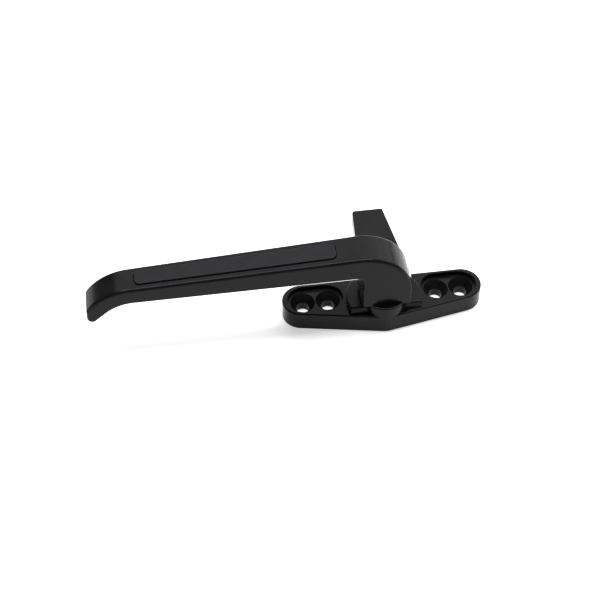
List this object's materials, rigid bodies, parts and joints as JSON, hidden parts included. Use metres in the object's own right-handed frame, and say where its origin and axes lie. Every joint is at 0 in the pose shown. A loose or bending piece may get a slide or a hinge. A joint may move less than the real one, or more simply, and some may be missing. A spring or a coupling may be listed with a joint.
{
  "type": "casement window handle",
  "caption": "Cranked casement window handle on a long screw-fixed base plate, with a tapered cockspur nose that swings through a quarter turn.",
  "frame": {"origin": "middle of the fixing-hole pattern on the mounting face", "axes": "+X along the base plate, with the closed lever pointing to -X; +Y towards the keeper, the way the closed nose points; +Z away from the sash, out of the mounting face"},
  "size_m": [0.1535, 0.051, 0.04],
  "materials": {
    "black_paint": "satin black powder coat on die casting",
    "inlay": "fine matt black",
    "tape": "dull foam tape",
    "bush_plastic": "natural moulded",
    "steel": "zinc plated, turned",
    "dark_steel": "blackened spring steel",
    "bright_steel": "ground and polished"
  },
  "bodies": {
    "plate": {"base_plate": "black_paint", "upper_bush": "bush_plastic", "lower_bush": "bush_plastic", "detent_ball_left": "bright_steel", "detent_ball_right": "bright_steel", "detent_spring_left": "steel", "detent_spring_right": "steel"},
    "lever": {"handle_lever": "black_paint", "grip_inlay": "inlay", "inlay_tape": "tape", "cockspur": "black_paint", "spindle": "steel", "spindle_grub_screw": "dark_steel", "stop_washer": "steel", "disc_spring": "dark_steel", "thrust_washer": "steel", "retaining_clip": "dark_steel"}
  },
  "joints": [
    {"name": "lever_turn", "type": "hinge", "parent": "plate", "child": "lever", "pos_m": [0, -0.0044, 0], "axis": [0, 0, 1], "range_deg": [0, 90]}
  ]
}
